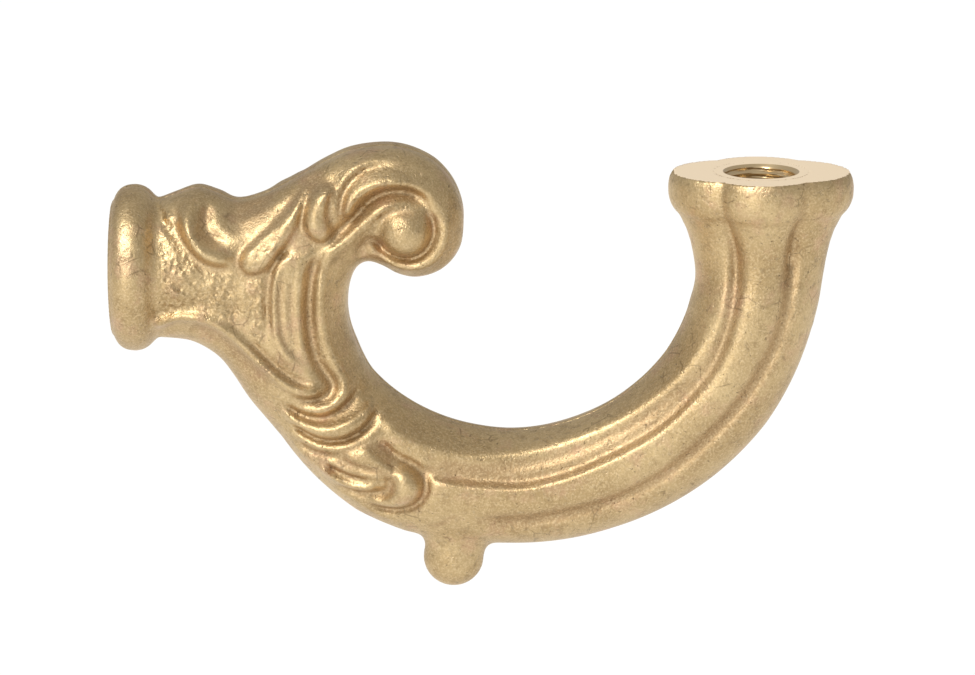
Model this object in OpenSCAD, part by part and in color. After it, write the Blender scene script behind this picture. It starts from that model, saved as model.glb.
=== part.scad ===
// Cast brass lamp arm: two mirrored castings brazed together on the arm's middle plane,
// registered by three pins, with a tapped bushing in each end.
// Frame: the origin is the centre of the base face, +X runs along the reach and +Z is up.

/* [Arm] */
// Distance from the base face to the cup's axis
reach = 86.7; // [84:0.1:90]
// Radius of the crook's centreline
crook_r = 33.4; // [32:0.1:35]
// Height of the crook's centre above the base's axis
crook_z = 2.9; // [2:0.1:4]
// Radius of the arm's section
arm_r = 8.1; // [7.8:0.05:8.4]
// Height of the cup's face above the base's axis
cup_height = 13.1; // [12:0.1:15]

/* [Base] */
// Largest radius of the bead around the base
bead_r = 11.2; // [10.8:0.1:12]
// Thickness of the bead along the base's axis
bead_t = 5.9; // [5.5:0.1:6.5]
// Radius of the neck behind the bead
neck_r = 9.6; // [9.2:0.1:10]

/* [Cup] */
// Radius of the cup's rim
rim_r = 12.4; // [12:0.05:13]
// Half width of the rim across the arm's plane
rim_side = 10.7; // [10.2:0.1:11.2]
// Radius of the arm under the cup
riser_r = 8.9; // [8.5:0.05:9.2]

/* [Scroll] */
// Radius of the volute
volute_r = 9.6; // [9:0.1:10]
// Half thickness of the volute across the arm
volute_t = 6.6; // [6:0.1:7]
// Radius of the eye that stands out of the volute
eye_r = 3.9; // [3.5:0.1:4.2]

/* [Wireway] */
// Radius of the passage for the wires
wireway_r = 3.6; // [3.2:0.1:3.8]
// Radius of a tapped hole's wall, at the crests of the thread
thread_r = 4.4; // [4.3:0.05:4.5]
// Length of each tapped bushing
bushing_l = 12; // [10:0.5:13]
// Outer radius of each tapped bushing
bushing_r = 6.2; // [5.8:0.1:6.5]

/* [Pins] */
// Radius of a locating pin
pin_r = 1.0; // [0.8:0.1:1.2]
// Depth of a locating pin in each half
pin_depth = 3.5; // [3:0.5:4]

/* [Hidden] */

brass = [0.76, 0.62, 0.38];
turned_brass = [0.85, 0.70, 0.45];

fine = 64;              // smoothness of the bushings and the pins
cast = 36;              // smoothness of the castings
seat_gap = 0.02;        // clearance of a bushing or a pin in its seat
mouth_chamfer = 0.7;    // countersink at the cup's tapped mouth
far = 200;              // larger than the whole arm

crook_x = reach - crook_r;
volute_at = [37.4, 7.6];
eye_at = [39.9, 6.2];
shoulder_at = [32.0, 9.5];
shoulder_r = 6.8;
throat_at = [24.4, -3.6];
throat_r = 7.1;
leaf_from = [12, -1.5];
leaf_to = [37.0, 5.4];
curl_at = [11.6, 4.7];
curl_r = 5.8;
bud_at = [45.6, -40.2];
bud_r = 4.1;
pin_spots = [
    [volute_at[0] - 1, volute_at[1]],
    [bud_at[0], bud_at[1] + 1.5],
    [reach + rim_r - 3.1, cup_height - 4.4]
];

// Moves its children to a spot on the arm's middle plane.
module at(spot, y = 0) {
    translate([spot[0], y, spot[1]])
        children();
}

// Part of a ring about the crook's centre, r thick, from the right-hand end clockwise.
module crook_ring(r, angle, sides) {
    at([crook_x, crook_z])
        rotate([90, 0, 0])
            rotate([0, 0, -angle])
                rotate_extrude(angle = angle, $fn = 90)
                    translate([crook_r, 0])
                        circle(r, $fn = sides);
}

// A solid stacked from round levels along z, each [height, radius].
module stack(levels, sides = cast) {
    for (i = [0 : len(levels) - 2])
        hull() {
            for (level = [levels[i], levels[i + 1]])
                translate([0, 0, level[0]])
                    cylinder(h = 0.01, r = level[1], $fn = sides);
        }
}

// The bead and the neck, along the base's axis.
module base_turning() {
    rotate([0, 90, 0])
        stack([
            [0, bead_r - 1.8],
            [0.6, bead_r - 0.7],
            [1.8, bead_r - 0.1],
            [2.9, bead_r],
            [4.1, bead_r - 0.2],
            [bead_t - 0.4, neck_r + 0.6],
            [bead_t + 0.3, neck_r - 0.4],
            [bead_t + 3, neck_r],
            [17.3, neck_r - 0.2]
        ]);
}

// The cup and the riser under it.
module cup() {
    translate([reach, 0, 0])
        scale([1, rim_side / rim_r, 1])
            stack([
                [-1.6, riser_r - 0.75],
                [1.4, riser_r],
                [5.2, riser_r + 0.9],
                [7.0, riser_r + 2.0],
                [8.5, rim_r - 0.5],
                [9.9, rim_r],
                [cup_height - 1.0, rim_r],
                [cup_height - 0.01, rim_r - 0.5]
            ], 48);
}

module volute() {
    at(volute_at)
        rotate([90, 0, 0])
            stack([
                [-volute_t, volute_r - 3.2],
                [-volute_t + 1.6, volute_r - 1.2],
                [-2.2, volute_r],
                [2.2, volute_r],
                [volute_t - 1.6, volute_r - 1.2],
                [volute_t - 0.01, volute_r - 3.2]
            ], 44);
    for (s = [-1, 1])
        at(eye_at, s * (volute_t + 1.2 - eye_r))
            sphere(eye_r, $fn = 28);
}

// The leaf that runs from the neck up to the volute, with the shoulder it ends in.
module leaf() {
    hull() {
        at(leaf_from)
            sphere(9.1, $fn = cast);
        at(leaf_to)
            sphere(6.3, $fn = cast);
    }
    hull() {
        at([leaf_to[0] - 9, leaf_to[1] - 1])
            sphere(7.4, $fn = cast);
        at(shoulder_at)
            sphere(shoulder_r, $fn = cast);
    }
    hull() {
        at([throat_at[0] - 1, throat_at[1] - 4])
            sphere(throat_r - 0.6, $fn = cast);
        at(throat_at)
            sphere(throat_r, $fn = cast);
    }
    at(curl_at)
        sphere(curl_r, $fn = cast);
}

// The small bead under the crook, with its flared root.
module bud() {
    at(bud_at)
        sphere(bud_r, $fn = cast);
    at(bud_at)
        stack([[0.4, bud_r - 0.1], [2.2, bud_r + 0.1], [4.4, bud_r + 2.6], [7.5, bud_r + 3.0]], 32);
}

// The whole arm's outside, solid.
module outside() {
    crook_ring(arm_r, 180, cast);
    base_turning();
    cup();
    leaf();
    volute();
    bud();
}

// Everything that is hollow in the pair of castings.
module hollows() {
    corner = asin(crook_z / crook_r);
    crook_ring(wireway_r, 180 - corner, 24);
    seat = (bushing_r + seat_gap) / cos(180 / fine);
    at([crook_x - crook_r * cos(corner), 0])
        sphere(wireway_r + 0.2, $fn = 24);
    translate([bushing_l - 1, 0, 0])
        rotate([0, 90, 0])
            cylinder(h = crook_x - crook_r * cos(corner) - bushing_l + 1, r = wireway_r, $fn = 26);
    translate([-1, 0, 0])
        rotate([0, 90, 0])
            cylinder(h = bushing_l + 1 + seat_gap, r = seat, $fn = fine);
    translate([reach, 0, cup_height - bushing_l - seat_gap])
        cylinder(h = bushing_l + 1, r = seat, $fn = fine);
    translate([reach, 0, cup_height - bushing_l - 2.5])
        cylinder(h = 3, r = wireway_r + 0.1, $fn = 26);
    for (spot = pin_spots)
        at(spot)
            rotate([90, 0, 0])
                cylinder(h = 2 * (pin_depth + seat_gap), r = (pin_r + seat_gap) / cos(180 / 20),
                    center = true, $fn = 20);
}

// One casting; side is -1 for the front and 1 for the back.
module half(side) {
    color(brass)
        intersection() {
            difference() {
                outside();
                hollows();
            }
            translate([-far / 2, side < 0 ? -far : 0, -far / 2])
                cube(far);
        }
}

module front_half() half(-1);
module back_half() half(1);

// A tapped bushing that stands on z = 0, with its mouth at the top.
module bushing(countersink) {
    color(turned_brass)
        difference() {
            cylinder(h = bushing_l, r = bushing_r, $fn = fine);
            translate([0, 0, -1])
                cylinder(h = bushing_l + 2, r = thread_r, $fn = fine);
            if (countersink > 0)
                translate([0, 0, bushing_l - countersink])
                    cylinder(h = countersink + 0.01, r1 = thread_r, r2 = thread_r + countersink, $fn = fine);
        }
}

module cup_bushing() {
    translate([reach, 0, cup_height - bushing_l])
        bushing(mouth_chamfer);
}

module base_bushing() {
    translate([bushing_l, 0, 0])
        rotate([0, -90, 0])
            bushing(0);
}

module locating_pins() {
    color(turned_brass)
        for (spot = pin_spots)
            at(spot)
                rotate([90, 0, 0])
                    cylinder(h = 2 * pin_depth, r = pin_r, center = true, $fn = fine);
}

front_half();
back_half();
cup_bushing();
base_bushing();
locating_pins();
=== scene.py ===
"""Cast brass lamp arm: two relief castings modelled as fields on a grid, and two tapped bushings."""

import math

import bpy
import numpy as np
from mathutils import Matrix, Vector


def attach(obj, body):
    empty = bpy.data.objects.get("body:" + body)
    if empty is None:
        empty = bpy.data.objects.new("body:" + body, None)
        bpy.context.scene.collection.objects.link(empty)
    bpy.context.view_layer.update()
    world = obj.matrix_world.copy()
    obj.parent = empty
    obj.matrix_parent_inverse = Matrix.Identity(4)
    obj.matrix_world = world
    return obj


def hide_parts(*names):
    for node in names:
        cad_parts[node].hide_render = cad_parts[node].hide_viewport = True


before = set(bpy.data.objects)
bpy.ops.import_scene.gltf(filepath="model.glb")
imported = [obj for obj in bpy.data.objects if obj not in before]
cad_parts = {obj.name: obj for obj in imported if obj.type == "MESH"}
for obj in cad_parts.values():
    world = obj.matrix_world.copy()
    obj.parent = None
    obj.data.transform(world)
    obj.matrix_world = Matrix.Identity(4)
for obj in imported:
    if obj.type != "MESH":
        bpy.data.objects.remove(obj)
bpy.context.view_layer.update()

# ---------------------------------------------------------------- sizes, in millimetres

MM = 0.001
# from the base's face to the cup's axis
REACH = 86.7
# the cup's face above the base's axis
CUP_TOP = 13.1
# the crook's centre, and the wireway's middle line about it
CROOK_AT = (53.3, 2.9)
CROOK_R = 33.4
WIREWAY_R = 3.6
BUSHING_R = 6.2
BUSHING_L = 12.0
# a tapped hole at the crests and at the roots of its thread
CREST_R = 4.4
ROOT_R = 4.85
PITCH = 0.94
COUNTERSINK = 0.7
# the cup's face is cut only past this along the reach, so that the volute stays whole
CUP_FROM = 60.0
# a distance too far to matter
FAR = 99.0
# the grid that the castings are meshed on: its step, and the front half's box with a margin
CELL = 0.34
GRID_BOX = ((-0.9, 100.4), (-13.1, 0.9), (-45.6, 18.4))


# ---------------------------------------------------------------- camera, floor and light, in metres

STUDIO_MIDDLE = (0.05, 0.0, -0.01)
FLOOR_HEIGHT = -0.14


def aim(thing, spot):
    """Turns a camera or lamp to face a spot."""
    thing.rotation_euler = (Vector(spot) - thing.location).to_track_quat("-Z", "Y").to_euler()


def make_camera():
    data = bpy.data.cameras.new("camera")
    data.lens = 164.6
    data.sensor_width = 36.0
    data.clip_start = 0.01
    camera = bpy.data.objects.new("camera", data)
    bpy.context.scene.collection.objects.link(camera)
    target = Vector((0.0502, 0.0, -0.0097))
    distance = 0.6
    tilt = math.radians(13.5)
    camera.location = target + distance * Vector((0.0, -math.cos(tilt), math.sin(tilt)))
    aim(camera, target)
    bpy.context.scene.camera = camera
    bpy.context.scene.view_settings.view_transform = "Standard"


def make_floor(material):
    bpy.ops.mesh.primitive_plane_add(size=6.0, location=(STUDIO_MIDDLE[0], 0.0, FLOOR_HEIGHT))
    floor = bpy.context.object
    floor.name = "floor"
    floor.data.materials.append(material)


def make_sky():
    world = bpy.data.worlds.new("studio")
    bpy.context.scene.world = world
    world.use_nodes = True
    background = world.node_tree.nodes["Background"]
    background.inputs["Color"].default_value = (1.0, 0.99, 0.97, 1.0)
    background.inputs["Strength"].default_value = 0.48


def place_lamp(data, spot):
    lamp = bpy.data.objects.new(data.name, data)
    bpy.context.scene.collection.objects.link(lamp)
    lamp.location = spot
    aim(lamp, STUDIO_MIDDLE)


def make_lamps():
    sun = bpy.data.lights.new("soft_sun", "SUN")
    sun.energy = 2.3
    sun.angle = math.radians(20.0)
    place_lamp(sun, (-0.35, -0.62, 0.75))
    front = bpy.data.lights.new("front_lamp", "AREA")
    front.shape = "RECTANGLE"
    front.size = 0.20
    front.size_y = 0.30
    front.energy = 0.9
    place_lamp(front, (-0.22, -0.62, 0.10))


# ---------------------------------------------------------------- materials

class Wire:
    """A shader socket that takes part in Python expressions."""

    def __init__(self, tree, socket):
        self.tree = tree
        self.socket = socket

    def maths(self, operation, first, second):
        return self.tree.node("ShaderNodeMath", {"operation": operation}, {0: first, 1: second}, "Value")

    def __add__(self, other):
        return self.maths("ADD", self, other)

    def __radd__(self, other):
        return self.maths("ADD", other, self)

    def __sub__(self, other):
        return self.maths("SUBTRACT", self, other)

    def __rsub__(self, other):
        return self.maths("SUBTRACT", other, self)

    def __mul__(self, other):
        return self.maths("MULTIPLY", self, other)

    def __rmul__(self, other):
        return self.maths("MULTIPLY", other, self)


class Tree:
    """A material's nodes, each made by one call."""

    def __init__(self, material):
        material.use_nodes = True
        self.nodes = material.node_tree.nodes
        self.links = material.node_tree.links
        self.nodes.clear()

    def node(self, kind, settings, inputs, output=0):
        made = self.nodes.new(kind)
        for key, value in settings.items():
            if key == "stops":
                for stop, (place, colour) in zip(made.color_ramp.elements, value):
                    stop.position = place
                    stop.color = colour
            else:
                setattr(made, key, value)
        for key, value in inputs.items():
            if isinstance(value, Wire):
                self.links.new(value.socket, made.inputs[key])
            else:
                made.inputs[key].default_value = value
        return Wire(self, made.outputs[output])


def new_material(name):
    material = bpy.data.materials.new(name)
    return material, Tree(material)


def finish_material(tree, inputs):
    """Ends a material in one shader with these inputs."""
    surface = tree.node("ShaderNodeBsdfPrincipled", {}, inputs, "BSDF")
    out = tree.nodes.new("ShaderNodeOutputMaterial")
    tree.links.new(surface.socket, out.inputs["Surface"])


def grey(level):
    return (level, level, level, 1.0)


CAST_BRASS = (0.46, 0.325, 0.16, 1.0)
PALE_CAST_BRASS = (0.58, 0.43, 0.225, 1.0)
AGED_BRASS = (0.30, 0.20, 0.095, 1.0)
PINK_BRASS = (0.58, 0.36, 0.23, 1.0)
# painted shade for the cut valleys and the ground's pits, also a duller tone for the punched ground
RECESS_SHADE_AND_DULL_GROUND = (0.30, 0.195, 0.09, 1.0)
PIT = (0.22, 0.15, 0.075, 1.0)
RUBBED_GRAIN = (0.76, 0.59, 0.35, 1.0)
SPECK = (0.12, 0.078, 0.038, 1.0)
CRACK = (0.16, 0.105, 0.05, 1.0)
TURNED_BRASS = (0.66, 0.50, 0.29, 1.0)
FACED_BRASS = (0.95, 0.77, 0.54, 1.0)
FLOOR_WHITE = (0.92, 0.92, 0.92, 1.0)


def cast_brass():
    """Raw cast brass: mottled, finely pitted, pinker in the recesses, with painted shade in the recesses and
    a duller tone over the punched ground.
    """
    material, tree = new_material("cast_brass")
    place = tree.node("ShaderNodeTexCoord", {}, {}, "Object")

    def noise(scale, detail, rough=0.5):
        return tree.node("ShaderNodeTexNoise", {}, {
            "Vector": place, "Scale": scale, "Detail": detail, "Roughness": rough}, "Fac")

    def cells(feature, scale, **more):
        return tree.node("ShaderNodeTexVoronoi", {"feature": feature}, {
            "Vector": place, "Scale": scale, **more}, "Distance")

    def ramp(value, low, high):
        return tree.node("ShaderNodeValToRGB", {"stops": [(low, grey(0.0)), (high, grey(1.0))]},
                         {"Fac": value}, "Color")

    def mix(factor, first, second):
        return tree.node("ShaderNodeMix", {"data_type": "RGBA"}, {0: factor, 6: first, 7: second}, 2)

    def mark(name):
        return tree.node("ShaderNodeAttribute", {"attribute_name": name}, {}, "Fac")

    # recess turns the brass pinker in the valleys and carries painted shade into them
    recess = mark("recess")
    ground = mark("ground")
    punched = cells("SMOOTH_F1", 1250.0, Smoothness=0.4)
    broad = ramp(noise(110.0, 3.0), 0.38, 0.64)
    pink = ramp(noise(260.0, 4.0, 0.6), 0.54, 0.70)
    grain = noise(1500.0, 4.0, 0.65)
    mottle = ramp(noise(620.0, 4.0, 0.75), 0.50, 0.66)
    sand = noise(3600.0, 2.0, 0.6)
    specks = ramp(noise(2300.0, 2.0, 0.6), 0.66, 0.74)
    fine_pits = ramp(noise(900.0, 3.0, 0.7), 0.60, 0.72)
    # hairlines between cells about 3 mm across, kept in a few patches and broken into short lengths
    cracks = (1 - ramp(cells("DISTANCE_TO_EDGE", 360.0), 0.0, 0.045)) * ramp(noise(120.0, 2.0), 0.50, 0.58)
    cracks = cracks * ramp(noise(520.0, 2.0), 0.50, 0.60)

    colour = mix(broad, CAST_BRASS, PALE_CAST_BRASS)
    colour = mix(mottle * 0.52, colour, AGED_BRASS)
    colour = mix(pink * 0.50 + recess * 0.25, colour, PINK_BRASS)
    # painted shade: the cut valleys and the pits of the punched ground are darkened, and the whole punched
    # ground is made a little duller
    colour = mix(recess * 0.42 + ground * 0.24, colour, RECESS_SHADE_AND_DULL_GROUND)
    colour = mix(fine_pits * 0.70, colour, PIT)
    colour = mix(ramp(sand, 0.45, 0.66) * 0.52, colour, RUBBED_GRAIN)
    colour = mix(specks * 0.75, colour, SPECK)
    colour = mix(cracks * 0.60, colour, CRACK)

    height = grain * 0.8 + sand * 0.6 - fine_pits * 0.8 - specks * 0.6 + noise(420.0, 2.0) * 0.6
    height = height + ground * punched * 3.0
    bump = tree.node("ShaderNodeBump", {}, {
        "Strength": 0.42, "Distance": 0.0002, "Height": height}, "Normal")
    finish_material(tree, {
        "Base Color": colour, "Roughness": 0.32 + 0.22 * grain + 0.08 * recess,
        "Metallic": 0.90, "Normal": bump})
    return material


def turned_brass(name, colour, roughness, metallic):
    """Freshly cut brass, faintly uneven from the tool."""
    material, tree = new_material(name)
    place = tree.node("ShaderNodeTexCoord", {}, {}, "Object")
    chatter = tree.node("ShaderNodeTexNoise", {}, {
        "Vector": place, "Scale": 700.0, "Detail": 3.0, "Roughness": 0.6}, "Fac")
    bump = tree.node("ShaderNodeBump", {}, {
        "Strength": 0.15, "Distance": 0.0001, "Height": chatter}, "Normal")
    finish_material(tree, {
        "Base Color": colour, "Roughness": roughness, "Metallic": metallic, "Normal": bump})
    return material


def pale_floor():
    """A pale table that glows a little, so that it stays white under soft light."""
    material, tree = new_material("pale_floor")
    finish_material(tree, {
        "Base Color": FLOOR_WHITE, "Roughness": 0.9,
        "Emission Color": FLOOR_WHITE, "Emission Strength": 0.12})
    return material


# ---------------------------------------------------------------- curves in the arm's plane

def curve(points, per=8):
    """A smooth line through the points, with so many steps from each to the next."""
    p = np.array(points, float)
    p = np.vstack([2 * p[0] - p[1], p, 2 * p[-1] - p[-2]])
    t = np.arange(per)[:, None] / per
    out = []
    for a, b, c, d in zip(p[:-3], p[1:-2], p[2:-1], p[3:]):
        out.append(0.5 * (2 * b + (c - a) * t + (2 * a - 5 * b + 4 * c - d) * t ** 2
                          + (3 * b - a - 3 * c + d) * t ** 3))
    return np.vstack(out + [p[-2:-1]])


def along(line, x, z):
    """Distance from each place to a line, and how far along the line it lies, 0 to 1."""
    best = np.full(x.shape, np.inf)
    where = np.zeros(x.shape)
    steps = np.hypot(*(line[1:] - line[:-1]).T)
    total = steps.sum()
    start = 0.0
    for a, b, length in zip(line[:-1], line[1:], steps):
        if length < 1e-9:
            continue
        ux, uz = (b - a) / length
        t = np.clip((x - a[0]) * ux + (z - a[1]) * uz, 0.0, length)
        d = np.hypot(x - a[0] - t * ux, z - a[1] - t * uz)
        nearer = d < best
        best = np.where(nearer, d, best)
        where = np.where(nearer, (start + t) / total, where)
        start += length
    return best, where


def signed(line, x, z):
    """Distance to a closed outline, negative inside it."""
    ring = np.vstack([line, line[:1]])
    d, _ = along(ring, x, z)
    inside = np.zeros(x.shape, bool)
    for a, b in zip(ring[:-1], ring[1:]):
        if a[1] == b[1]:
            continue
        crosses = (a[1] > z) != (b[1] > z)
        inside ^= crosses & (x < (b[0] - a[0]) * (z - a[1]) / (b[1] - a[1]) + a[0])
    return np.where(inside, -d, d)


def ease(value, low, high):
    """0 below low, 1 above high, and smooth between."""
    t = np.clip((value - low) / (high - low), 0.0, 1.0)
    return t * t * (3 - 2 * t)


# ---------------------------------------------------------------- the relief

# the valley round a swollen shape: its half width, and how dark it is beside a cut valley
FOOT_WIDTH = 0.42
FOOT_SHADE = 0.9
# how much of a swollen shape's edge lies outside its outline, as a share of its softness
EDGE_OVERHANG = 0.15
# how much further than its own size a strand, a valley or a bump still counts
STRAND_SKIRT = 2.5
VALLEY_SKIRT = 3.2
BUMP_SKIRT = 2.5
# the width over which a punched ground fades in from its edge
GROUND_EDGE = 0.9
# pits are a little rarer than bumps
BUMP_BIAS = 0.45


def taper(t, ends):
    """1 along a stroke, falling to 0 over the given share of it at its head and its tail."""
    head, tail = ends
    out = np.ones(t.shape)
    if head:
        out = out * ease(t, 0.0, head)
    if tail:
        out = out * ease(1 - t, 0.0, tail)
    return out


class Relief:
    """Height added to the castings' faces, over a map of the arm's plane."""

    def __init__(self, x, z):
        self.x = x
        self.z = z
        self.height = np.zeros(x.shape)
        # how deep in a valley each place lies: it makes the brass pinker there and darkens it with painted
        # shade
        self.recess = np.zeros(x.shape)
        self.ground = np.zeros(x.shape)

    def near(self, line, reach):
        """The part of the map within reach of a line."""
        low = line.min(0) - reach
        high = line.max(0) + reach
        rows = np.where((self.x[:, 0] > low[0]) & (self.x[:, 0] < high[0]))[0]
        cols = np.where((self.z[0] > low[1]) & (self.z[0] < high[1]))[0]
        return np.s_[rows[0]:rows[-1] + 1, cols[0]:cols[-1] + 1]

    def roll(self, points, width, height, ends=(0.12, 0.12)):
        """A raised half-round strand with soft feet, thinner where it tapers."""
        line = curve(points)
        part = self.near(line, STRAND_SKIRT * width)
        d, t = along(line, self.x[part], self.z[part])
        thin = taper(t, ends)
        spread = width * (0.45 + 0.55 * thin)
        self.height[part] += height * thin * np.exp(-(d / spread) ** 2 * 1.2)

    def cut(self, points, width, depth, ends=(0.12, 0.12)):
        """A narrow valley, thinner where it tapers."""
        line = curve(points)
        part = self.near(line, VALLEY_SKIRT * width)
        d, t = along(line, self.x[part], self.z[part])
        thin = taper(t, ends)
        spread = width * (0.4 + 0.6 * thin)
        dip = thin * np.exp(-(d / spread) ** 2)
        self.height[part] -= depth * dip
        # the valley is marked for a pinker tone and for painted shade
        self.recess[part] = np.maximum(self.recess[part], dip)

    def pillow(self, points, height, soft, valley=0.0):
        """A swollen shape with a rounded edge, and a valley round its foot."""
        line = curve(points + points[:1])[:-1]
        part = self.near(line, 2.0)
        s = signed(line, self.x[part], self.z[part])
        rise = np.clip(EDGE_OVERHANG - s / soft, 0.0, 1.0)
        self.height[part] += height * (1 - (1 - rise) ** 2)
        if valley:
            dip = np.exp(-(s / FOOT_WIDTH) ** 2)
            self.height[part] -= valley * dip
            self.recess[part] = np.maximum(self.recess[part], dip * FOOT_SHADE)

    def soften(self, spread):
        """Rounds every edge a little, as sand casting does."""
        reach = int(3 * spread / CELL) + 1
        bell = np.exp(-0.5 * (np.arange(-reach, reach + 1) * CELL / spread) ** 2)
        bell /= bell.sum()
        for name in ("height", "recess"):
            sheet = getattr(self, name)
            for axis in (0, 1):
                sheet = sum(w * np.roll(sheet, i - reach, axis) for i, w in enumerate(bell))
            setattr(self, name, sheet)

    def stipple(self, points, level, size, amount, count, seed):
        """A ground of count small bumps and pits inside an outline, set at its own level."""
        line = curve(points + points[:1])[:-1]
        part = self.near(line, 0.5)
        x = self.x[part]
        z = self.z[part]
        inside = ease(-signed(line, x, z), 0.0, GROUND_EDGE)
        ground = np.zeros(x.shape)
        dice = np.random.default_rng(seed)
        low = line.min(0)
        high = line.max(0)
        for across, up, swell in dice.random((count, 3)):
            at_x = low[0] + across * (high[0] - low[0])
            at_z = low[1] + up * (high[1] - low[1])
            r = size * (0.7 + 0.6 * swell)
            rows = np.abs(x[:, 0] - at_x) < BUMP_SKIRT * r
            cols = np.abs(z[0] - at_z) < BUMP_SKIRT * r
            if rows.any() and cols.any():
                spot = np.ix_(rows, cols)
                d2 = (x[spot] - at_x) ** 2 + (z[spot] - at_z) ** 2
                ground[spot] += (swell - BUMP_BIAS) * np.exp(-d2 / r ** 2)
        self.height[part] += inside * (level + amount * ground)
        self.ground[part] = np.maximum(self.ground[part], inside)
        # the ground's pits are marked for a pinker tone and for painted shade
        self.recess[part] = np.maximum(self.recess[part], inside * np.clip(0.25 - ground, 0.0, 0.4))


def carve_neck(relief):
    # the curl over the neck
    relief.roll([(11.6, 10.9), (10.5, 8.4), (10.9, 6.2), (12.3, 4.3), (14.2, 3.4), (15.9, 3.1), (17.0, 3.9)],
                1.15, 1.45, (0.35, 0.2))
    relief.cut([(9.2, 10.6), (8.9, 8.8), (9.5, 6.6), (10.6, 4.3), (12.6, 2.3), (15.0, 1.6), (16.6, 1.9)],
               0.55, 0.65, (0.3, 0.1))
    relief.cut([(13.7, 10.2), (12.9, 8.4), (13.0, 6.6), (14.2, 5.4), (16.2, 5.2)], 0.9, 0.9, (0.3, 0.3))
    # the hollow between the curl and the leaf, with its faint ribs
    relief.cut([(15.4, 6.6), (18.6, 8.6), (22.4, 11.4)], 1.9, 0.60, (0.25, 0.35))
    relief.roll([(16.4, 6.4), (19.4, 8.3), (23.6, 10.6)], 0.45, 0.30, (0.3, 0.3))
    relief.roll([(18.0, 8.9), (21.0, 10.6), (24.0, 12.2)], 0.45, 0.22, (0.3, 0.3))
    # the strip beside the ground
    relief.roll([(18.1, 0.4), (17.9, -2.5), (18.1, -6.4)], 0.40, 0.32, (0.3, 0.3))
    relief.cut([(24.3, 5.4), (22.6, 3.2), (21.6, 0.9), (21.2, -1.8), (21.2, -5.3), (21.7, -8.4)],
               0.50, 0.75, (0.15, 0.3))


def carve_ground(relief):
    """The punched ground on the neck, cut after the casting's edges are rounded."""
    relief.stipple([(6.9, 9.2), (8.6, 8.6), (9.8, 5.0), (12.4, 2.0), (15.3, 1.2), (17.2, 0.2),
                    (17.6, -5.4), (15.4, -5.5), (12.6, -4.4), (9.9, -4.0), (6.9, -4.4)],
                   -0.30, 0.36, 0.22, 1800, 11)
    relief.stipple([(18.3, 0.2), (20.6, 0.6), (20.9, -3.0), (20.6, -8.6), (18.9, -7.6), (18.4, -4.0)],
                   -0.05, 0.45, 0.10, 200, 12)


def carve_leaf(relief):
    # the long lobe that ends over the neck
    relief.pillow([(17.1, 2.6), (18.0, 4.3), (19.8, 5.8), (21.9, 7.6), (24.4, 10.2), (26.6, 12.6),
                   (26.0, 9.6), (24.9, 6.6), (23.0, 3.6), (20.9, 1.4), (19.2, 0.7), (17.8, 1.2)],
                  1.15, 1.9, 0.45)
    relief.cut([(18.9, 3.1), (21.0, 4.9), (23.4, 7.4)], 0.32, 0.55, (0.2, 0.4))
    relief.cut([(24.9, 13.2), (26.2, 12.5), (27.8, 13.2), (29.0, 12.5)], 0.40, 0.30, (0.3, 0.3))
    # the bright drop
    relief.pillow([(28.4, 12.6), (26.8, 11.6), (25.9, 9.4), (25.9, 7.2), (26.8, 5.5), (28.2, 4.8),
                   (29.5, 5.6), (29.7, 7.0), (29.3, 8.6), (29.4, 10.4), (30.0, 12.4)],
                  1.55, 2.3, 0.50)
    relief.roll([(28.6, 8.6), (28.8, 11.0), (29.8, 13.4)], 0.7, 0.45, (0.3, 0.4))
    # two fingers that roll over the volute
    relief.roll([(30.2, 7.4), (30.1, 10.2), (30.7, 12.2), (31.9, 13.9), (33.9, 15.2), (36.4, 15.7),
                 (39.4, 15.4)], 0.62, 0.60, (0.12, 0.5))
    relief.cut([(31.0, 7.2), (30.8, 10.0), (31.3, 11.9), (32.5, 13.4), (34.2, 14.5), (36.6, 14.9),
                (39.6, 14.5)], 0.40, 0.70, (0.1, 0.5))
    relief.roll([(31.9, 7.8), (31.8, 9.6), (33.0, 11.3), (34.9, 12.5), (37.2, 13.0), (40.0, 12.6),
                 (42.4, 11.0), (43.7, 8.9)], 1.0, 1.25, (0.08, 0.5))


def carve_volute(relief):
    # the valley under the fingers, which runs on round the eye
    relief.cut([(29.0, 4.2), (31.2, 6.6), (33.0, 8.5), (34.4, 10.0), (36.1, 11.1), (38.2, 11.5),
                (40.3, 11.1), (42.0, 9.9), (42.9, 8.2)], 0.85, 1.35, (0.15, 0.2))
    relief.cut([(41.6, 9.8), (42.7, 8.2), (43.0, 6.2), (42.4, 4.1), (41.0, 2.8), (39.3, 2.4),
                (37.6, 2.9), (36.0, 4.0), (34.8, 5.2), (33.6, 5.6)], 0.48, 1.15, (0.15, 0.2))
    # the strand that rises from the throat and winds into the eye
    relief.roll([(28.2, 0.9), (29.4, 3.2), (31.0, 4.9), (32.8, 6.6), (34.6, 8.2), (36.4, 9.4), (38.6, 9.9),
                 (40.6, 9.2)], 0.95, 0.95, (0.2, 0.3))
    relief.cut([(35.0, 7.2), (36.4, 8.4), (38.2, 9.0), (40.0, 8.7), (41.2, 7.8)], 0.35, 0.35, (0.3, 0.3))
    relief.roll([(35.4, 3.6), (37.7, 1.8), (40.0, 1.2), (42.2, 1.7), (43.9, 3.3), (44.8, 5.7), (44.7, 8.3),
                 (43.6, 10.4)], 0.70, 0.65, (0.15, 0.3))
    relief.cut([(32.6, 2.6), (34.0, 4.4), (35.3, 4.9), (36.8, 3.4)], 0.75, 0.80, (0.25, 0.2))
    # the eye
    eye = np.hypot(relief.x - 39.3, relief.z - 6.0)
    relief.height += 2.2 * (1 - np.clip(eye / 3.55, 0.0, 1.0) ** 2.2)


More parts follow.
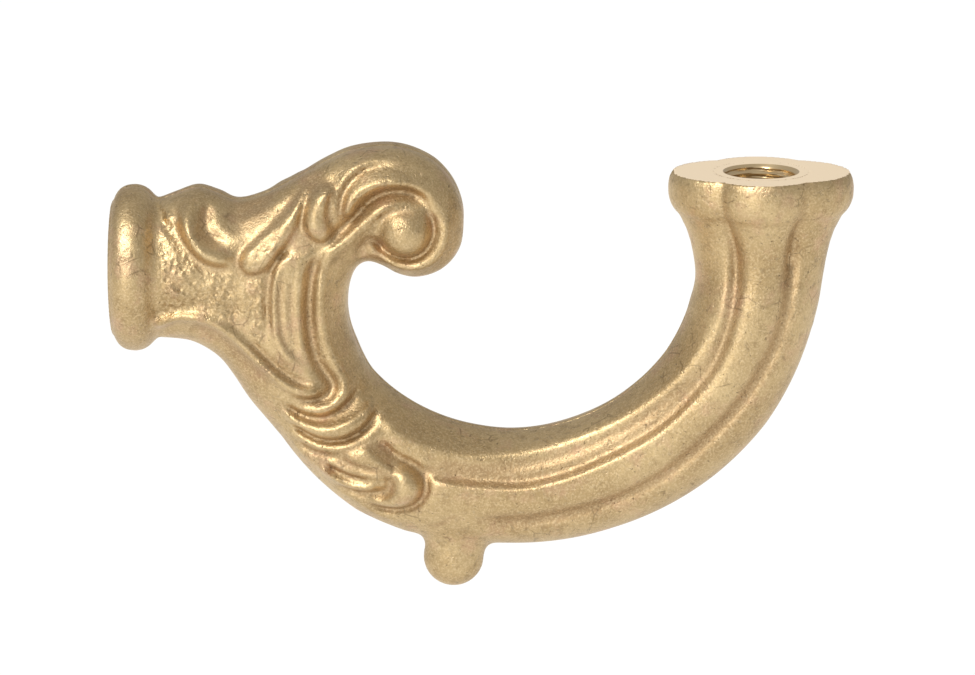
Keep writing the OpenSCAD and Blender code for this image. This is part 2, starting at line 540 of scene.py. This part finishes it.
def carve_throat(relief):
    # three long strands side by side, each with its valley
    relief.roll([(23.2, 4.0), (22.1, 0.0), (21.9, -3.4), (22.2, -6.7), (23.1, -9.4), (24.6, -11.2),
                 (26.6, -12.3)], 0.65, 0.70, (0.2, 0.2))
    relief.cut([(23.5, 1.6), (22.8, -0.9), (22.7, -3.4), (22.9, -6.7), (23.6, -9.1), (24.7, -10.6)],
               0.32, 0.48, (0.2, 0.25))
    relief.roll([(24.4, 3.4), (23.5, -1.5), (23.6, -6.4), (24.6, -9.8)], 0.5, 0.35, (0.2, 0.3))
    relief.cut([(24.5, 0.6), (24.1, -3.0), (24.4, -7.2), (25.1, -10.2)], 0.28, 0.30, (0.25, 0.25))
    relief.roll([(25.9, 3.4), (25.2, -1.3), (25.2, -5.3), (25.7, -8.8), (27.0, -12.2)],
                0.75, 0.55, (0.2, 0.2))
    # the deep valley that turns back under the border, and the strand that follows it
    relief.cut([(28.2, 4.2), (27.1, 1.7), (26.7, -0.7), (26.5, -3.4), (26.5, -6.1), (26.8, -8.8),
                (27.5, -11.2), (28.7, -13.1), (29.5, -14.6), (28.8, -16.0), (26.9, -16.5), (25.0, -16.4),
                (22.9, -15.7)], 0.72, 1.05, (0.1, 0.2))
    relief.roll([(29.6, 3.4), (28.5, 0.6), (28.2, -2.4), (28.4, -5.4), (29.2, -9.0), (30.4, -12.0),
                 (31.4, -14.2), (31.0, -16.0), (28.8, -17.3), (26.4, -17.6), (24.4, -17.2)],
                1.05, 0.75, (0.2, 0.15))


def carve_border(relief):
    """The bright strand under the ground and the throat, with a valley on each side."""
    relief.roll([(5.6, -6.5), (8.3, -5.2), (10.0, -4.9), (11.8, -5.0), (13.6, -5.6), (15.3, -6.5),
                 (17.2, -8.2), (19.9, -11.0), (21.9, -12.9), (23.6, -14.2), (25.2, -15.0), (26.9, -15.2),
                 (28.3, -14.9)], 0.70, 1.15, (0.04, 0.05))
    relief.cut([(17.0, -6.6), (19.6, -9.2), (21.8, -11.4), (24.0, -13.2), (26.0, -13.9), (27.6, -13.6)],
               0.40, 0.55, (0.3, 0.2))
    relief.cut([(8.6, -6.9), (11.6, -6.7), (14.0, -7.7), (16.6, -9.9), (19.4, -12.8), (22.2, -15.4)],
               0.70, 0.40, (0.3, 0.2))


def carve_lower_leaves(relief):
    # the second curl, under the border
    relief.cut([(22.8, -16.6), (24.4, -18.0), (25.9, -18.7), (27.9, -18.9), (29.7, -18.4),
                (31.3, -17.4), (32.5, -16.1), (33.0, -14.6)], 0.50, 0.90, (0.15, 0.2))
    relief.pillow([(22.6, -17.4), (24.2, -18.5), (25.8, -19.3), (27.6, -19.8), (29.6, -19.6),
                   (31.6, -18.8), (33.4, -17.6), (34.6, -17.0), (35.0, -18.2), (33.8, -20.0),
                   (31.8, -21.2), (29.8, -21.7), (27.6, -21.5), (25.4, -20.6), (23.6, -19.2)],
                  1.10, 1.1, 0.0)
    relief.roll([(23.2, -17.6), (24.6, -18.7), (26.2, -19.5), (28.0, -20.0), (30.0, -19.8),
                 (32.0, -19.0), (33.6, -18.0)], 0.42, 0.50, (0.15, 0.2))
    relief.cut([(23.6, -19.7), (26.3, -21.4), (28.3, -22.1), (30.2, -22.1), (32.2, -21.6),
                (34.0, -20.4), (35.3, -18.9), (35.8, -17.6)], 0.50, 1.05, (0.15, 0.2))
    # the third, narrow one
    relief.roll([(22.9, -19.8), (24.4, -21.2), (26.4, -22.4), (28.4, -23.0), (30.4, -23.0),
                 (32.2, -22.5), (33.9, -21.6)], 0.55, 0.55, (0.2, 0.2))
    relief.cut([(24.2, -22.2), (26.4, -23.7), (28.4, -24.2), (30.6, -24.2)], 0.42, 0.70, (0.25, 0.3))
    # the blade between it and the last curl
    relief.pillow([(31.0, -23.6), (32.6, -23.0), (34.2, -22.6), (35.7, -23.8), (37.4, -25.4),
                   (37.6, -26.4), (35.4, -26.2), (33.2, -25.6), (31.2, -24.8)], 0.85, 1.1, 0.30)
    relief.cut([(34.9, -21.4), (36.5, -23.0), (38.2, -24.5), (40.2, -25.5), (41.7, -27.2),
                (41.9, -29.0), (41.0, -30.8), (39.2, -31.8), (37.0, -32.1), (34.9, -31.5),
                (32.8, -30.2)], 0.50, 1.15, (0.1, 0.2))
    # the last curl: a knob that tails away to the left, with an edge inside it
    relief.roll([(26.6, -24.6), (29.0, -25.1), (31.4, -26.2), (34.4, -26.8), (37.0, -26.5),
                 (39.2, -26.8)], 0.60, 0.80, (0.2, 0.3))
    relief.pillow([(36.9, -26.4), (38.9, -25.8), (40.5, -26.6), (41.2, -28.4), (40.6, -30.1),
                   (39.0, -31.2), (36.8, -31.4), (34.4, -30.8), (36.2, -30.2), (37.4, -28.8)],
                  1.45, 1.9, 0.0)
    relief.roll([(26.9, -24.9), (28.8, -26.7), (30.6, -27.9), (32.4, -28.5), (34.2, -28.5), (35.7, -27.9)],
                0.46, 1.00, (0.2, 0.12))
    relief.cut([(29.4, -28.2), (31.4, -29.3), (33.4, -29.7), (35.2, -29.4), (36.4, -28.2)],
               0.45, 0.80, (0.25, 0.2))
    relief.cut([(27.8, -24.9), (30.2, -26.4), (32.6, -27.2), (35.2, -27.2)], 0.45, 0.65, (0.25, 0.25))
    relief.cut([(34.9, -30.0), (36.2, -29.6), (37.2, -28.6), (37.2, -27.3), (36.4, -26.8)], 0.60, 0.80,
               (0.25, 0.2))
    # the edge along the arm's outside, and the crease over the bud
    relief.roll([(21.6, -18.6), (24.6, -23.0), (28.6, -27.2), (33.6, -31.4), (38.6, -34.4)],
                0.7, 0.30, (0.2, 0.2))
    relief.cut([(46.9, -33.0), (45.3, -33.0), (43.9, -34.1), (42.0, -34.9)], 0.30, 0.35, (0.25, 0.25))


def carve_flutes(relief):
    """The hollow that runs along the crook, and the grooves that part the cup's lobes."""
    inner = [(35.7, -18.6), (38.8, -21.6), (43.9, -23.8), (49.2, -24.6), (56.5, -23.9), (62.0, -22.3),
             (67.4, -20.0), (71.8, -17.2), (75.4, -14.0), (77.9, -10.6), (79.3, -7.6), (80.4, -3.0)]
    groove = [(40.6, -25.6), (43.9, -26.9), (49.2, -27.7), (54.7, -27.8), (60.2, -26.7), (65.6, -24.5),
              (71.1, -21.5), (74.7, -18.7), (77.9, -15.1), (80.4, -11.4), (82.0, -7.3), (83.0, -2.8),
              (83.3, 1.7), (82.9, 4.8), (82.0, 7.4), (81.2, 9.6), (81.0, 12.0), (81.1, 15.0)]
    sharp_edge = [(41.8, -27.2), (45.0, -28.2), (49.2, -28.6), (54.7, -28.8), (60.2, -27.6),
                  (65.6, -25.4), (71.1, -22.5), (74.7, -19.8), (78.4, -16.0), (81.2, -11.8)]
    outer = [(46.9, -33.0), (51.4, -33.6), (56.5, -33.3), (62.0, -32.2), (67.2, -30.6), (72.0, -28.2),
             (76.4, -25.0), (80.6, -21.0), (84.2, -16.8), (87.0, -12.3), (88.8, -8.5), (89.9, -4.6),
             (90.4, -0.4), (90.6, 3.5), (91.0, 6.2), (91.7, 8.2), (92.2, 10.4), (92.3, 15.0)]
    relief.roll(inner, 1.0, 0.60, (0.05, 0.25))
    relief.cut([(41.6, -24.7), (46.0, -26.1), (51.0, -26.5), (56.5, -25.9), (61.6, -24.5), (66.6, -22.3),
                (71.4, -19.4), (75.2, -16.2), (78.6, -12.0), (80.8, -7.4)], 0.85, 0.40, (0.1, 0.3))
    relief.cut(groove, 0.75, 0.95, (0.03, 0.22))
    relief.roll(sharp_edge, 0.50, 0.55, (0.08, 0.25))
    relief.cut(outer, 1.05, 1.05, (0.08, 0.22))


def carve_all(plan_x, plan_z):
    """The whole relief, with its edges rounded before the sharper ground is punched."""
    relief = Relief(plan_x, plan_z)
    for carve in (carve_neck, carve_leaf, carve_volute, carve_throat, carve_border,
                  carve_lower_leaves, carve_flutes):
        carve(relief)
    relief.soften(0.24)
    carve_ground(relief)
    return relief


# ---------------------------------------------------------------- the castings as a field

# the neck, leaf and volute seen from the front
OUTLINE = [
    (6.3, 9.3), (8.6, 10.2), (11.5, 11.1), (14.3, 10.3), (16.8, 9.3), (20.4, 10.2), (23.4, 11.7),
    (26.1, 13.2), (28.8, 14.7), (32.0, 16.1), (36.3, 16.7), (39.6, 16.3), (42.7, 14.9), (44.6, 13.2),
    (46.0, 11.1), (46.9, 8.4), (47.0, 6.0), (46.6, 3.4), (45.2, 1.2), (43.2, -0.2), (40.6, -0.8),
    (38.2, -0.3), (36.2, 0.8), (34.2, 1.4), (32.6, 0.4), (31.6, -2.2), (31.3, -5.2), (31.6, -8.0),
    (32.7, -11.4), (33.4, -15.4), (31.0, -21.0), (24.0, -21.0), (19.2, -18.0), (16.6, -14.4),
    (14.2, -11.8), (10.6, -9.7), (6.3, -9.1),
]
# its half thickness and the radius its edges are rounded to, along the reach
BODY_SECTIONS = [
    (6, 9.2, 8.6), (14, 8.9, 7.8), (20, 8.4, 6.6), (26, 7.8, 5.6), (34, 6.7, 4.6), (40, 6.4, 4.6),
]
# the crook by the angle from its centre: inner radius, outer radius, half thickness
CROOK_SECTIONS = [
    (-180, 20.5, 41.0, 8.6), (-170, 22.6, 41.0, 8.5), (-160, 24.0, 41.0, 8.4), (-150, 24.8, 40.5, 8.3),
    (-140, 25.2, 40.4, 8.2), (-130, 25.3, 41.2, 8.1), (-120, 25.3, 41.9, 8.0), (-110, 25.3, 41.8, 8.0),
    (-100, 25.3, 41.1, 7.9), (-90, 25.4, 41.0, 7.9), (-70, 25.4, 41.3, 7.9), (-50, 25.4, 41.9, 8.0),
    (-35, 25.5, 42.2, 8.1), (-20, 25.3, 42.0, 8.1), (-8, 24.9, 41.9, 8.0), (0, 24.6, 42.2, 7.8),
]
# how much slimmer the riser is than the crook, and where it ends inside the cup
RISER_SLIM = 0.24
RISER_TOP = 8.0
# where the crook's left end stops inside the throat
CROOK_LEFT_TOP = 3.0
# the bead and neck: distance from the base's face, radius
BASE_PROFILE = [
    (-1, 7.0), (0, 8.6), (0.3, 9.5), (0.7, 10.2), (1.3, 10.8), (2.1, 11.1), (3.1, 11.2), (4.1, 11.0),
    (4.9, 10.5), (5.6, 9.75), (6.2, 9.25), (7.5, 9.2), (9.5, 9.3), (12.5, 8.8), (14.5, 7.0),
]
# the riser and cup: height, radius across the lobes in the arm's plane
CUP_PROFILE = [
    (-7, 6.5), (-3, 7.8), (0, 8.6), (2.1, 9.0), (3.7, 9.35), (5.4, 9.9), (6.8, 10.6), (7.5, 10.95),
    (8.1, 11.55), (8.8, 12.0), (9.8, 12.35), (11.2, 12.4), (12.3, 12.25), (12.8, 12.0), (13.2, 11.6),
]
RIM_R = 12.4
# the cup's lobes at its rim: distance from the axis and radius
SIDE_LOBE = (4.25, 8.15)
FRONT_LOBE = (3.3, 7.4)
BUD_R = 4.12
# the field round a turned or lobed shape rises faster than distance does, so it is scaled down
SLOPE = 0.85


def profile(place, sections):
    """The values at a place, between the nearest two of the sections."""
    stations, *values = zip(*sections)
    return [np.interp(place, stations, value) for value in values]


def blend_in(a, b, soft):
    """The union of two solids with a fillet where they meet."""
    h = np.clip(0.5 + 0.5 * (b - a) / soft, 0.0, 1.0)
    return b + (a - b) * h - soft * h * (1 - h)


def body_field(y, plan_x, plan_z):
    """The neck, leaf and volute: an outline with its edges rounded over."""
    s = signed(curve(OUTLINE, 5), plan_x, plan_z)
    half, edge = profile(plan_x, BODY_SECTIONS)
    across = (s + edge)[:, None, :]
    out = np.abs(y) - (half - edge)[:, None, :]
    return (np.hypot(np.maximum(across, 0), np.maximum(out, 0))
            + np.minimum(np.maximum(across, out), 0) - edge[:, None, :])


def crook_field(y, plan_x, plan_z):
    """The crook: a bent tube whose inner and outer radii change along it, and the riser over its end."""
    dx = plan_x - CROOK_AT[0]
    dz = plan_z - CROOK_AT[1]
    turn = np.degrees(np.arctan2(dz, dx))
    riser = (dz > 0) & (dx > 0)
    r = np.where(riser, dx, np.hypot(dx, dz))
    turn = np.where(riser, 0.0, np.where(turn > 90, turn - 360, turn))
    inner, outer, deep = profile(turn, CROOK_SECTIONS)
    half = (outer - inner) / 2
    slim = 1 - RISER_SLIM * ease(plan_z, -5.0, 7.0) * (dx > 0)
    half = half * slim
    deep = deep * slim
    d = (r - (outer + inner) / 2)[:, None, :]
    q = np.sqrt((d / half[:, None, :]) ** 2 + (y / deep[:, None, :]) ** 2)
    field = (q - 1) * np.minimum(half, deep)[:, None, :]
    left_end = (plan_z - CROOK_LEFT_TOP)[:, None, :] + np.where(dx < 0, 0.0, -FAR)[:, None, :]
    right_end = (plan_z - RISER_TOP)[:, None, :]
    return np.maximum(field, np.maximum(left_end, right_end))


def base_field(x, y, z):
    """The bead and the neck behind it, turned about the base's axis."""
    [radius] = profile(x, BASE_PROFILE)
    field = (np.hypot(y, z) - radius) * SLOPE
    return np.maximum(np.maximum(field, -x), x - BASE_PROFILE[-1][0])


def cup_field(x, y, z):
    """The cup and riser: four lobes in plan, a rolled rim and a flat face."""
    [radius] = profile(z, CUP_PROFILE)
    k = radius / RIM_R
    dx = np.abs(x - REACH)
    side = np.hypot(dx - SIDE_LOBE[0] * k, y) - SIDE_LOBE[1] * k
    front = np.hypot(dx, np.abs(y) - FRONT_LOBE[0] * k) - FRONT_LOBE[1] * k
    plan = blend_in(side, front, 0.35)
    return np.maximum(np.maximum(plan * SLOPE, z - CUP_TOP), CUP_PROFILE[0][0] - z)


def bud_field(x, y, z):
    """The small bead under the crook, on a stem that leans a little to the right."""
    low = (45.6, -40.15)
    high = (46.4, -34.0)
    t = np.clip((z - low[1]) / (high[1] - low[1]), 0, 1)
    return np.sqrt((x - low[0] - t * (high[0] - low[0])) ** 2 + y ** 2
                   + (z - np.clip(z, low[1], high[1])) ** 2) - BUD_R


def hollow_field(x, y, z, plan_x, plan_z):
    """The wireway and the bushings' two seats: negative where there is no metal."""
    dx = plan_x - CROOK_AT[0]
    dz = plan_z - CROOK_AT[1]
    # where the straight passage through the neck starts, where it meets the bend, and the riser's foot
    start = 10.0
    corner = 20.0
    foot = 1.0
    ring = np.where(dz < 0, np.abs(np.hypot(dx, dz) - CROOK_R), FAR)[:, None, :]
    wires = np.hypot(ring, y) - WIREWAY_R
    neck = np.maximum(np.hypot(y, z) - WIREWAY_R, np.maximum(start - x, x - corner))
    bend = np.sqrt((x - corner) ** 2 + y ** 2 + z ** 2) - WIREWAY_R
    riser = np.maximum(np.hypot(x - REACH, y) - WIREWAY_R, foot - z + 0 * x)
    base_seat = np.maximum(np.hypot(y, z) - BUSHING_R, x - BUSHING_L)
    cup_seat = np.maximum(np.hypot(x - REACH, y) - BUSHING_R, CUP_TOP - BUSHING_L - z)
    out = np.minimum(np.minimum(wires, neck), np.minimum(bend, riser))
    return np.minimum(out, np.minimum(base_seat, cup_seat))


def cast_field(x, y, z, plan_x, plan_z, relief):
    """The front casting: its solids filleted together, raised by the relief, hollowed and cut flat."""
    field = blend_in(body_field(y, plan_x, plan_z), crook_field(y, plan_x, plan_z), 1.6)
    field = blend_in(field, base_field(x, y, z), 0.5)
    field = blend_in(field, cup_field(x, y, z), 1.2)
    field = blend_in(field, bud_field(x, y, z), 2.0)
    # the relief fades out towards the seam
    facing = ease(-y, 1.0, 4.5)
    field = field - relief.height[:, None, :] * facing
    field = np.maximum(field, -hollow_field(x, y, z, plan_x, plan_z))
    cup_face = np.where(x > CUP_FROM, z - CUP_TOP, -FAR)
    return np.maximum(np.maximum(field, y + 0 * x), np.maximum(cup_face, -x + 0 * z))


# ---------------------------------------------------------------- from the field to a mesh

# a corner nearer than this to a machined face is moved onto it, in millimetres
SEAM_SNAP = 0.12
FACE_SNAP = 0.16
SEAT_SNAP = 0.24
# a seat and this much round it keep their shape when the rest is evened out
SEAT_KEEP = 0.3
# how far down from its mouth a seat is made truly round
SEAT_LIP = 1.0


def surface(field, axes):
    """The surface where a field crosses zero, as corner places and four-sided faces.

    Each grid cell that the surface passes through gets one corner, at the mean of the places
    where the surface cuts the cell's edges. Each cut edge gets one face between its four cells.
    """
    inside = field < 0
    mixed = np.zeros([n - 1 for n in field.shape], np.int8)
    corners = [(i, j, k) for i in (0, 1) for j in (0, 1) for k in (0, 1)]
    nx, ny, nz = mixed.shape
    for i, j, k in corners:
        mixed += inside[i:i + nx, j:j + ny, k:k + nz]
    cells = np.argwhere((mixed > 0) & (mixed < 8))
    number = np.full(mixed.shape, -1, np.int32)
    number[tuple(cells.T)] = np.arange(len(cells))
    values = np.stack([field[tuple((cells + c).T)] for c in corners], 1)
    total = np.zeros((len(cells), 3))
    hits = np.zeros(len(cells))
    for a in range(8):
        for step in (1, 2, 4):
            b = a + step
            if a & step:
                continue
            va = values[:, a]
            vb = values[:, b]
            cross = (va < 0) != (vb < 0)
            t = np.where(cross, va / np.where(cross, va - vb, 1.0), 0.0)
            spot = np.array(corners[a]) + t[:, None] * (np.array(corners[b]) - np.array(corners[a]))
            total += spot * cross[:, None]
            hits += cross
    places = (cells + total / hits[:, None]) * CELL + np.array([axis[0] for axis in axes])
    return places, faces_between(inside, number)


def faces_between(inside, number):
    """One face round each grid edge that runs from metal to air, with its front towards the air."""
    faces = []
    for axis in range(3):
        u = (axis + 1) % 3
        v = (axis + 2) % 3
        one = np.take(inside, range(inside.shape[axis] - 1), axis)
        two = np.take(inside, range(1, inside.shape[axis]), axis)
        for before, after, flip in ((one, ~two, False), (~one, two, True)):
            edges = np.argwhere(before & after)
            keep = np.all((edges[:, [u, v]] > 0), 1)
            keep &= (edges[:, u] < number.shape[u]) & (edges[:, v] < number.shape[v])
            edges = edges[keep]
            ring = []
            for du, dv in ((-1, -1), (0, -1), (0, 0), (-1, 0)):
                cell = edges.copy()
                cell[:, u] += du
                cell[:, v] += dv
                ring.append(number[tuple(cell.T)])
            quad = np.stack(ring, 1)
            faces.append(quad[:, ::-1] if flip else quad)
    return np.vstack(faces)


def relax(places, faces, held, rounds):
    """Evens out the grid's steps by drawing each corner halfway to the mean of its neighbours."""
    here = faces.ravel()
    there = np.roll(faces, -1, 1).ravel()
    count = np.bincount(here, minlength=len(places))
    for _ in range(rounds):
        mean = np.stack([np.bincount(here, places[there, k], len(places)) / count for k in range(3)], 1)
        places = np.where(held[:, None], places, (places + mean) / 2)
    return places


def machine(places, faces):
    """Makes the seam, the two end faces and the seats true, and evens out the cast surface."""
    seam = places[:, 1] > -SEAM_SNAP
    places[seam, 1] = 0.0
    top = (places[:, 2] > CUP_TOP - FACE_SNAP) & (places[:, 0] > CUP_FROM)
    places[top, 2] = CUP_TOP
    bottom = places[:, 0] < FACE_SNAP
    places[bottom, 0] = 0.0
    held = seam | top | bottom | (np.hypot(places[:, 1], places[:, 2]) < BUSHING_R + SEAT_KEEP)
    held |= np.hypot(places[:, 0] - REACH, places[:, 1]) < BUSHING_R + SEAT_KEEP
    places = relax(places, faces, held, 2)
    # each seat: the two axes across it, its centre, and the corners near its mouth
    for first, second, centre, near in ((0, 1, (REACH, 0.0), places[:, 2] > CUP_TOP - SEAT_LIP),
                                        (1, 2, (0.0, 0.0), places[:, 0] < SEAT_LIP)):
        across = np.hypot(places[:, first] - centre[0], places[:, second] - centre[1])
        seat = near & (np.abs(across - BUSHING_R) < SEAT_SNAP)
        for axis, middle in ((first, centre[0]), (second, centre[1])):
            places[seat, axis] = middle + (places[seat, axis] - middle) * BUSHING_R / across[seat]
    return places


def nearest(place, axis):
    """The number of the grid line nearest to each place along one axis."""
    return np.clip(((place - axis[0]) / CELL).round().astype(int), 0, len(axis) - 1)


def cast_half():
    """The front casting's corners and faces, and how recessed or punched it is at each corner."""
    axes = [np.arange(low, high, CELL) for low, high in GRID_BOX]
    x = axes[0][:, None, None]
    y = axes[1][None, :, None]
    z = axes[2][None, None, :]
    plan_x, plan_z = np.meshgrid(axes[0], axes[2], indexing="ij")
    relief = carve_all(plan_x, plan_z)
    places, faces = surface(cast_field(x, y, z, plan_x, plan_z, relief), axes)
    places = machine(places, faces)
    column = nearest(places[:, 0], axes[0])
    row = nearest(places[:, 2], axes[2])
    # only the outward face is marked, not the seam or the wireway
    outside = places[:, 1] < -2.0
    return places, faces, {"recess": relief.recess[column, row] * outside,
                           "ground": relief.ground[column, row] * outside}


def make_mesh(name, places, faces, materials):
    mesh = bpy.data.meshes.new(name)
    mesh.from_pydata((places * MM).tolist(), [], faces.tolist())
    mesh.update()
    for material in materials:
        mesh.materials.append(material)
    mesh.polygons.foreach_set("use_smooth", [True] * len(mesh.polygons))
    thing = bpy.data.objects.new(name, mesh)
    bpy.context.scene.collection.objects.link(thing)
    return thing


def make_casting(name, node, half, mirror, materials):
    """One casting; its cup face and base face are in the second material."""
    places, faces, marks = half
    places = places.copy()
    if mirror:
        places[:, 1] *= -1
        faces = faces[:, ::-1]
    casting = make_mesh(name, places, faces, materials)
    mesh = casting.data
    for mark, strength in marks.items():
        mesh.attributes.new(mark, "FLOAT", "POINT").data.foreach_set("value", strength)
    at_cup = (places[:, 2] > CUP_TOP - 0.01) & (places[:, 0] > CUP_FROM)
    at_base = places[:, 0] < 0.01
    flat = (at_cup | at_base)[faces].all(1)
    mesh.polygons.foreach_set("material_index", flat.astype(int))
    mesh.set_sharp_from_angle(angle=math.radians(62))
    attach(casting, "root")
    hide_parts(node)


# ---------------------------------------------------------------- the bushings

BUSHING_SIDES = 72
STEPS_PER_THREAD = 8
# the plain length at the thread's inner end
RUNOUT = 0.4
# the mouth face laps its seat's edge, and stands proud of the casting by a hair
MOUTH_LAP = 0.1
MOUTH_PROUD = 0.01
# the flanks are steep enough to leave narrow crests
FLANK = 1.25


def bushing_profile():
    """Places round a bushing's section: radius, depth from its mouth, and whether it is thread."""
    mouth = CREST_R + COUNTERSINK
    rows = [(BUSHING_R, BUSHING_L, 0), (BUSHING_R + MOUTH_LAP, -MOUTH_PROUD, 0), (mouth, -MOUTH_PROUD, 0)]
    start = mouth - ROOT_R
    end = BUSHING_L - RUNOUT
    count = int((end - start) / PITCH * STEPS_PER_THREAD)
    rows += [(ROOT_R, start + (end - start) * i / count, 1) for i in range(count + 1)]
    return rows + [(ROOT_R, BUSHING_L, 0)]


def make_bushing(name, node, place, materials):
    """A tapped ring; place turns its own depth, in-plane and across distances into the arm's frame."""
    rows = bushing_profile()
    sides = BUSHING_SIDES
    places = []
    for radius, depth, thread in rows:
        for k in range(sides):
            a = 2 * math.pi * k / sides
            r = radius
            if thread:
                wave = (depth / PITCH + k / sides) % 1.0
                r -= (ROOT_R - CREST_R) * max(0.0, 1 - abs(2 * wave - 1) * FLANK)
                r = max(r, CREST_R + COUNTERSINK - depth)
            places.append(place(depth, r * math.cos(a), r * math.sin(a)))
    faces = []
    for i in range(len(rows)):
        n = (i + 1) % len(rows)
        for k in range(sides):
            m = (k + 1) % sides
            faces.append((i * sides + k, i * sides + m, n * sides + m, n * sides + k))
    bushing = make_mesh(name, np.array(places), np.array(faces), materials)
    # the second ring of faces is the mouth
    for face in bushing.data.polygons[sides:2 * sides]:
        face.material_index = 1
    bushing.data.set_sharp_from_angle(angle=math.radians(35))
    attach(bushing, "root")
    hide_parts(node)


def on_cup(depth, in_plane, across):
    return (REACH + in_plane, across, CUP_TOP - depth)


def on_base(depth, in_plane, across):
    return (depth, across, in_plane)


# ---------------------------------------------------------------- the scene

make_camera()
make_floor(pale_floor())
make_sky()
make_lamps()

cast = cast_brass()
turned = turned_brass("turned_brass", TURNED_BRASS, 0.28, 0.9)
faced = turned_brass("faced_brass", FACED_BRASS, 0.50, 0.25)

half = cast_half()
make_casting("front_casting", "front_half", half, False, [cast, faced])
make_casting("back_casting", "back_half", half, True, [cast, faced])
make_bushing("cup_bushing_tapped", "cup_bushing", on_cup, [turned, faced])
make_bushing("base_bushing_tapped", "base_bushing", on_base, [turned, faced])
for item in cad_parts["locating_pins"].material_slots:
    item.material = turned
